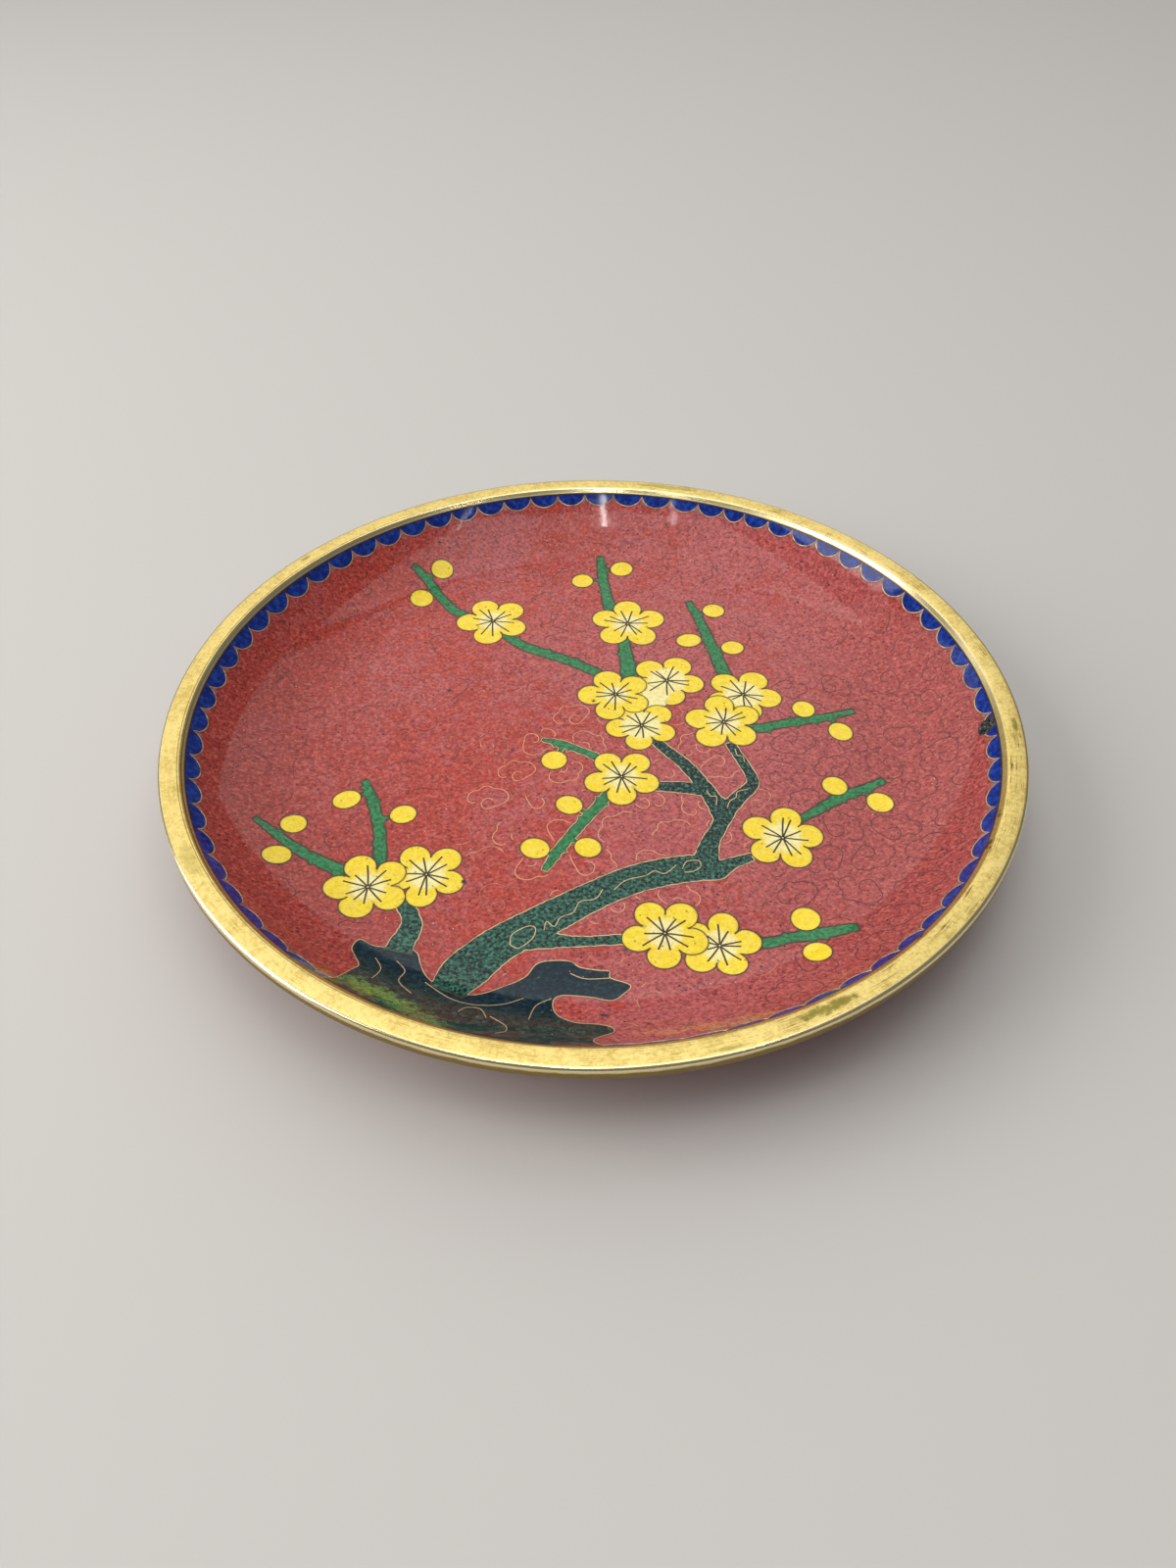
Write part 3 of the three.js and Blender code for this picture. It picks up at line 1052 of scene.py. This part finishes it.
def ground_colour(tree):
    """The well's red, with its painted shade and sheen, and a grey filler that shows in the corners between
    the scallops.
    """
    place, x, y, _ = object_place(tree)
    uneven = noise(place, 2.5 * MM, 3.0, 0.6) * (2.6 * MM)
    filler = remap(from_axis(x, y) + uneven, 70.3 * MM, 71.1 * MM, 0.0, 0.85)
    return blend(filler, red_with_painted_light(tree), (0.27, 0.19, 0.16, 1))


def petal_colour(tree):
    """Cream at the heart and yellow outside it, meeting in a line of loose granules."""
    place = object_place(tree)[0]
    loose = (noise(place, 0.45 * MM, 2.0) - 0.5) * 1.3
    yellow = blend(remap(noise(place, 1.6 * MM, 3.0), 0.44, 0.60),
                   rgba(colours().petal), (0.97, 0.71, 0.04, 1))
    return blend(remap(attribute(tree, "shade") + loose, 0.25, 1.0), rgba(colours().heart), yellow)


def bark_colour(tree):
    """Dark green, nearly black in the thin branches."""
    place, _, y, _ = object_place(tree)
    y = y + noise(place, 3.0 * MM, 3.0) * (12 * MM)
    return blend(remap(y, -34 * MM, -8 * MM), rgba(colours().bark), (0.009, 0.034, 0.030, 1))


def stone_colour(tree):
    """Slate above, near black towards the band, with moss in patches."""
    place, x, y, _ = object_place(tree)
    uneven = noise(place, 1.4 * MM, 4.0, 0.7)
    low = from_axis(x, y) + uneven * (5 * MM)
    colour = blend(remap(low, 62 * MM, 66 * MM), rgba(colours().stone), (0.022, 0.038, 0.032, 1))
    olive = remap(noise(place, 1.1 * MM, 4.0, 0.75), 0.47, 0.62) * remap(low, 64 * MM, 68 * MM, 0.0, 0.8)
    colour = blend(olive, colour, (0.065, 0.125, 0.085, 1))
    mossy = attribute(tree, "shade") + (uneven - 0.5) * 2.6
    return blend(remap(mossy, 0.30, 0.80), colour, rgba(colours().moss))


def enamels():
    """The enamels in the order of the cells' kinds."""
    own = colours()
    return (
        enamel("Brick red enamel", ground_colour, (0.22, 0.030, 0.028, 1), (0.66, 0.20, 0.16, 1),
               0.7 * MM, 0.36, 0.62, 0.95, 0.45),
        enamel("Blue enamel", own.blue, rgba(own.blue, 0.5), (0.020, 0.075, 0.40, 1),
               1.1 * MM, 0.7, 0.35, 0.2, 0.45),
        enamel("Petal enamel", petal_colour, (0.90, 0.54, 0.015, 1), (1.0, 0.84, 0.22, 1),
               1.0 * MM, 0.30, 0.15, 0.55, 0.35),
        enamel("Twig enamel", own.twig, rgba(own.twig, 0.4), (0.06, 0.28, 0.11, 1),
               0.7 * MM, 0.6, 0.5, 0.3, 0.9),
        enamel("Bark enamel", bark_colour, (0.004, 0.008, 0.009, 1), (0.065, 0.20, 0.14, 1),
               0.6 * MM, 1.0, 0.8, 0.5, 0.35),
        enamel("Rock enamel", stone_colour, (0.004, 0.008, 0.012, 1), (0.020, 0.056, 0.074, 1),
               0.8 * MM, 0.55, 0.6, 0.9, 0.3),
        enamel("Chipped enamel", (0.035, 0.040, 0.040), (0.01, 0.008, 0.006, 1), (0.13, 0.14, 0.13, 1),
               0.5 * MM, 1.0, 0.6, 0.6, 0.4),
    )


def brass(name, gain, dullness, outer_shade, patches, bump=0.30):
    """Worn brass. A gain below 1 darkens it."""
    made, tree, shader = new_material(name)
    values = {"Clean": rgba(colours().brass, gain), "Dull": rgba(colours().tarnish, gain),
              # The outer shade is painted shade and a painted dark reflection on the band's outer face.
              "Outer shade colour": (0.20, 0.125, 0.022, 1), "Green": (0.29, 0.25, 0.045, 1),
              "Dullness": dullness, "Outer shade": outer_shade, "Patches": patches}
    group_surface(tree, shader, aged_brass(), values, bump, 0.05 * MM)
    shader["Metallic"].default_value = 1.0
    return made


def wire_brass(name, bright, dark, between):
    """Brass wire ground flush with the enamel: bright where its tarnish is low and dark where it is high, the
    tarnish being partly real and, on twig and cloud wires, partly a painted reflection.
    """
    made, tree, shader = new_material(name)
    patchy = noise(object_place(tree)[0], 1.5 * MM, 3.0, 0.6) - 0.5
    dull = attribute(tree, "tarnish") + patchy * 1.3
    colour = blend(remap(dull, 0.05, 0.5), bright, between)
    join(blend(remap(dull, 0.5, 0.9), colour, dark), shader["Base Color"])
    join(remap(dull, 0.0, 0.6, 0.35, 0.5), shader["Roughness"])
    join(remap(dull, 0.0, 0.4, 0.6, 0.0), shader["Metallic"])
    return made


class DISH_OT_well(bpy.types.Operator):
    """Lay the enamel picture in the well of the dish"""

    bl_idname = "dish.well"
    bl_label = "Well Enamel"

    def execute(self, context):
        plan = picture()
        well = plan.well
        under = Well(sizes().enamel_thickness)
        points = [well.at(x, y) for x, y in plan.points]
        faces = list(plan.triangles)
        kinds = [plan.cells[top].enamel for top in plan.tops]
        shades = [plan.cells[top].shade(*plan.points[k])
                  for triangle, top in zip(plan.triangles, plan.tops) for k in triangle]
        # The underside of the enamel follows its face, ring by ring, and closes in the middle.
        uses = {}
        for triangle in faces:
            for k in range(3):
                edge = (triangle[k], triangle[(k + 1) % 3])
                uses[edge] = uses.get(edge, 0) + 1
        after = {a: b for a, b in uses if (b, a) not in uses}
        start = min(after)
        loop = [start]
        while after[loop[-1]] != start:
            loop.append(after[loop[-1]])
        outer = loop
        for share in (1.0, 0.94, 0.86, 0.78, 0.70, 0.35):
            inner = []
            for k in loop:
                x, y = plan.points[k]
                inner.append(len(points))
                points.append(under.at(x * share, y * share))
            for i in range(len(loop)):
                n = (i + 1) % len(loop)
                faces.append((outer[n], outer[i], inner[i], inner[n]))
            outer = inner
        points.append(under.at(0, 0))
        for i in range(len(loop)):
            faces.append((outer[(i + 1) % len(loop)], outer[i], len(points) - 1))
        hidden = len(faces) - len(plan.triangles)
        piece = new_piece("well_enamel", points, faces)
        for made in enamels():
            piece.data.materials.append(made)
        piece.data.polygons.foreach_set("material_index", kinds + [GROUND] * hidden)
        layer = piece.data.attributes.new("shade", "FLOAT", "CORNER")
        layer.data.foreach_set("value", shades + [1.0] * (len(piece.data.loops) - len(shades)))
        layer = piece.data.attributes.new("by_wire", "FLOAT", "POINT")
        layer.data.foreach_set("value", [float(k in plan.border_points) for k in range(len(points))])
        planar_map(piece, well)
        smooth(piece)
        settle(piece, "enamel", "enamelled_dish")
        return {"FINISHED"}


def keep_inside(line, inside):
    """The stretches of a line whose points pass the test."""
    runs, run = [], []
    for point in line:
        if inside(point):
            run.append(point)
        else:
            if len(run) > 2:
                runs.append(run)
            run = []
    if len(run) > 2:
        runs.append(run)
    return runs


def painted_wire_reflection(x, y):
    """Painted reflection on the wires: bright in the middle of the dish, dark towards its edge."""
    away = math.hypot((x - 4) * 1.1, y + 16) / 32
    return max(0.0, min(1.0, (away - 0.75) * 1.8))


def border_style(groups):
    """Width in millimetres and tarnish of the wire between two groups of cells; on twig wires the tarnish
    holds a painted reflection.
    """
    width = sizes().wire_width / MM
    if any(g.startswith(("blossom", "bud")) for g in groups):
        return width * 0.85, 0.95
    if "scallops" in groups:
        return width * 1.15, 0.25
    if "twig" in groups:
        return width * 0.9, lambda x, y: min(0.9, 0.15 + painted_wire_reflection(x, y))
    if "rock" in groups and "bark" in groups:
        return width, 0.9
    return width, 0.12


class DISH_OT_wires(bpy.types.Operator):
    """Set brass wires round every cell of the picture and along its drawn lines"""

    bl_idname = "dish.wires"
    bl_label = "Picture Wires"

    def execute(self, context):
        plan = picture()
        chance = random.Random(SEED + 1)
        runs = []
        for line, groups in plan.borders():
            width, tarnish = border_style(groups)
            runs.append((line, width, tarnish))
        for lines, group in ((BARK_LINES, "bark"), (ROCK_LINES, "rock")):
            for points in lines:
                line = curve_through(points, 0.4)
                for run in keep_inside(line, lambda p: plan.group_at(*p) == group):
                    runs.append((run, sizes().wire_width / MM * 0.85, 0.1))
        for i, (x, y, turn, reach, _) in enumerate(BLOSSOMS):
            for petal in range(5):
                for k in range(STAMENS_PER_PETAL):
                    angle = math.radians(turn + 72 * petal + (k - 0.5) * 27 + chance.uniform(-7, 7))
                    length = reach * chance.uniform(0.46, 0.66)
                    bend = chance.uniform(-0.08, 0.08)
                    line = []
                    for step in range(9):
                        away = 0.15 + (length - 0.15) * step / 8
                        turned = angle + bend * step / 8
                        line.append((x + away * math.cos(turned), y + away * math.sin(turned)))
                    for run in keep_inside(line, lambda p: plan.group_at(*p) == f"blossom {i}"):
                        runs.append((run, STAMEN_WIDTH, 1.0))
        piece = wire_mesh("picture_wires", runs, plan.well)
        piece.data.materials.append(wire_brass("Cloison wire", (0.80, 0.55, 0.30, 1),
                                               (0.060, 0.040, 0.022, 1), (0.24, 0.14, 0.07, 1)))
        planar_map(piece, plan.well)
        settle(piece, "rim_brass")
        return {"FINISHED"}


def cloud_line(x, y, width, turn, flip):
    """A cloud scroll round a place."""
    made = []
    for px, py in curve_through(CLOUD, 0.055):
        px *= flip * width
        py *= width
        made.append((x + px * math.cos(turn) - py * math.sin(turn),
                     y + px * math.sin(turn) + py * math.cos(turn)))
    return made


class DISH_OT_clouds(bpy.types.Operator):
    """Scatter cloud scrolls of wire over the red ground"""

    bl_idname = "dish.clouds"
    bl_label = "Cloud Wires"

    def execute(self, context):
        plan = picture()
        chance = random.Random(SEED + 2)
        reach = plan.well.edge / MM - 3.2
        runs = []
        rows = int(reach / CLOUD_PITCH[1]) + 1
        for row in range(-rows, rows + 1):
            for column in range(-rows, rows + 1):
                x = (column + 0.5 * (row % 2)) * CLOUD_PITCH[0] + chance.uniform(-0.8, 0.8)
                y = row * CLOUD_PITCH[1] + chance.uniform(-0.7, 0.7)
                width = CLOUD_WIDTH * chance.uniform(0.8, 1.08)
                turn = chance.uniform(-0.5, 0.5) + (math.pi if chance.random() < 0.3 else 0)
                flip = chance.choice((-1, 1))
                seen = chance.random()
                if math.hypot(x, y) > reach:
                    continue
                line = cloud_line(x, y, width, turn, flip)
                free = keep_inside(line, lambda p: math.hypot(*p) < reach + 1.6
                                   and plan.group_at(*p) == "ground" and plan.outline_distance(*p) > 0.45)
                for run in free:
                    # Painted reflection: a cloud wire is bright in the middle of the dish and dark towards
                    # its edge.
                    dull = painted_wire_reflection(*run[0])
                    shown, wide = 1.0 if seen > 0.3 else 0.45, 0.24
                    if run[0][0] > 30 and run[0][1] < 18:
                        # On the right every scroll shows, sunk under a skin of the ground's red.
                        shown, dull = 1.0, max(dull, 0.72)
                    elif dull > 0.4:
                        # On the left and at the far side only some arcs come through.
                        shown = 0.35 if seen > 0.5 else 0.0
                        dull = dull if run[0][1] > -48 else 0.25
                    length = int(len(run) * shown)
                    start = chance.randrange(0, len(run) - length + 1)
                    if length > 2:
                        runs.append((run[start:start + length], wide, dull))
        piece = wire_mesh("cloud_wires", runs, plan.well)
        piece.data.materials.append(wire_brass("Cloud wire", (0.74, 0.37, 0.21, 1), (0.145, 0.040, 0.036, 1),
                                               (0.36, 0.068, 0.055, 1)))
        planar_map(piece, plan.well)
        settle(piece, "rim_brass")
        return {"FINISHED"}


class DISH_OT_back(bpy.types.Operator):
    """Turn the copper dish with the plain enamel on its underside"""

    bl_idname = "dish.back"
    bl_label = "Back of the Dish"

    def execute(self, context):
        own = sizes()
        well = Well()
        inner = well.section(20, own.enamel_thickness)
        outer = well.section(20, own.wall_thickness)
        # The blue of the base ends under the foot.
        foot = FOOT_BOX[1][0] - BASE_UNDER_FOOT * MM
        outer.insert(1, (foot, outer[0][1]))
        piece = turned_ring("dish_back", inner + outer[::-1], 256)
        # The back's red carries the same painted shade and sheen.
        reds = enamel("Back enamel", red_with_painted_light, (0.20, 0.035, 0.035, 1), (0.60, 0.19, 0.16, 1),
                      0.9 * MM, 0.42, 0.38, 0.75, 0.0)
        blue = enamel("Base enamel", colours().blue, rgba(colours().blue, 0.55), (0.05, 0.10, 0.42, 1),
                      1.1 * MM, 0.6, 0.35, 0.6, 0.0)
        piece.data.materials.append(reds)
        piece.data.materials.append(blue)
        for face in piece.data.polygons:
            x, y, z = face.center
            inside = math.hypot(x, y) < foot and face.normal.z < 0
            face.material_index = int(inside)
        smooth(piece)
        settle(piece, "enamel", "enamelled_dish")
        return {"FINISHED"}


class DISH_OT_band(bpy.types.Operator):
    """Turn the brass band that covers the edge"""

    bl_idname = "dish.band"
    bl_label = "Rim Band"

    def execute(self, context):
        own = sizes()
        well = Well()
        top, low, outside = BAND_BOX[1][2], BAND_BOX[0][2], BAND_BOX[1][0]
        edge_in = well.section(1)[-1]
        edge_out = well.section(1, own.wall_thickness)[-1]
        under, over = BAND_UNDER_ROUND * MM, BAND_TOP_ROUND * MM
        section = [edge_out]
        section += rounding((outside - under, low + under), under, -90, 0, 8)
        section += rounding((outside - over, top - over), over, 0, 90, 8)
        # Over the crown and the lip that laps over the enamel, then back under it.
        lip = edge_in[0] - own.lip
        section += [(lip + inwards * MM, top - below * MM) for inwards, below in LIP_SECTION]
        piece = turned_ring("brass_band", section)
        piece.data.materials.append(brass("Band brass", 1.0, 0.75, 0.9, 1.0))
        smooth(piece)
        settle(piece, "rim_brass", "rim_band")
        return {"FINISHED"}


class DISH_OT_foot(bpy.types.Operator):
    """Turn the brass foot that the dish stands on"""

    bl_idname = "dish.foot"
    bl_label = "Foot Ring"

    def execute(self, context):
        high, outside = FOOT_BOX[1][2], FOOT_BOX[1][0]
        inside = outside - FOOT_THICKNESS * MM
        radius = FOOT_ROUND * MM
        section = [(inside, high)]
        section += rounding((inside + radius, radius), radius, -180, -90, 6)
        section += rounding((outside - FOOT_TAPER * MM - radius, radius), radius, -90, 0, 6)
        section += [(outside - FOOT_WAIST[0] * MM, high * FOOT_WAIST[1]), (outside, high)]
        piece = turned_ring("brass_foot", section, 192)
        piece.data.materials.append(brass("Foot brass", 0.85, 0.9, 0.0, 0.5))
        smooth(piece)
        settle(piece, "foot_brass", "foot_ring")
        return {"FINISHED"}


def area_light(name, place, turn, wide, high, brightness):
    """A rectangular light that looks equally bright whatever its size."""
    light = bpy.data.lights.new(name, "AREA")
    light.shape = "RECTANGLE"
    light.size, light.size_y = wide, high
    light.energy = 4 * wide * high * brightness
    made = bpy.data.objects.new(name, light)
    made.location, made.rotation_euler = place, turn
    bpy.context.collection.objects.link(made)
    return light


class DISH_OT_stage(bpy.types.Operator):
    """Set the pale floor, the soft light and the photograph's camera"""

    bl_idname = "dish.stage"
    bl_label = "Stage"

    def execute(self, context):
        bpy.ops.object.select_all(action="DESELECT")
        bpy.ops.mesh.primitive_plane_add(size=6, location=(0, 0, 0))
        floor = context.active_object
        floor.name = "floor"
        made, _, shader = new_material("Pale floor")
        shader["Base Color"].default_value = FLOOR_COLOUR
        shader["Roughness"].default_value = FLOOR_ROUGHNESS
        floor.data.materials.append(made)
        for name, place, wide, high, brightness in SOFT_LIGHTS:
            facing = (Vector((0, 0, 0.01)) - Vector(place)).to_track_quat("-Z", "Y").to_euler()
            area_light(name, place, facing, wide, high, brightness).color = LIGHT_COLOUR
        # Narrow lamps overhead that run away from the viewer draw the streaks on the far wall.
        for number, (x, y, turn, brightness) in enumerate(CEILING_LAMPS):
            area_light(f"lamp {number}", (x, y, LAMP_HEIGHT), (0, 0, math.radians(turn)),
                       LAMP_WIDTH, LAMP_LENGTH, brightness)
        world = bpy.data.worlds.new("soft room")
        world.use_nodes = True
        room = world.node_tree.nodes["Background"].inputs
        room["Color"].default_value = ROOM_COLOUR
        room["Strength"].default_value = ROOM_BRIGHTNESS
        context.scene.world = world
        context.scene.view_settings.view_transform = "Standard"
        camera = bpy.data.objects.new("camera", bpy.data.cameras.new("camera"))
        camera.data.sensor_fit = "VERTICAL"
        camera.data.sensor_height = FRAME_HEIGHT
        camera.data.lens = CAMERA_FOCAL
        camera.data.clip_start = 0.01
        x, y, z = CAMERA_PLACE
        camera.location = (x * MM, y * MM, BAND_BOX[1][2] + z * MM)
        tilt = Matrix.Rotation(math.radians(90 - CAMERA_PITCH), 3, "X")
        camera.rotation_euler = (tilt @ Matrix.Rotation(math.radians(-CAMERA_ROLL), 3, "Z")).to_euler()
        context.collection.objects.link(camera)
        context.scene.camera = camera
        return {"FINISHED"}


class DISH_PT_panel(bpy.types.Panel):
    """Lists the dish's pieces, sizes and colours"""

    bl_label = "Cloisonne Dish"
    bl_idname = "DISH_PT_panel"
    bl_space_type = "VIEW_3D"
    bl_region_type = "UI"
    bl_category = "Dish"

    def draw(self, context):
        for step in STEPS:
            self.layout.operator(step.bl_idname)
        for group in (context.scene.dish_sizes, context.scene.dish_colours):
            box = self.layout.box()
            for key in group.__annotations__:
                box.prop(group, key)


STEPS = (DISH_OT_well, DISH_OT_wires, DISH_OT_clouds, DISH_OT_back, DISH_OT_band, DISH_OT_foot,
         DISH_OT_stage)
CLASSES = (DishSizes, DishColours, *STEPS, DISH_PT_panel)


def register():
    for made in CLASSES:
        bpy.utils.register_class(made)
    bpy.types.Scene.dish_sizes = PointerProperty(type=DishSizes)
    bpy.types.Scene.dish_colours = PointerProperty(type=DishColours)


def unregister():
    del bpy.types.Scene.dish_colours
    del bpy.types.Scene.dish_sizes
    for made in reversed(CLASSES):
        bpy.utils.unregister_class(made)


def main():
    register()
    for step in (bpy.ops.dish.well, bpy.ops.dish.wires, bpy.ops.dish.clouds, bpy.ops.dish.back,
                 bpy.ops.dish.band, bpy.ops.dish.foot, bpy.ops.dish.stage):
        step()


if __name__ == "__main__":
    main()
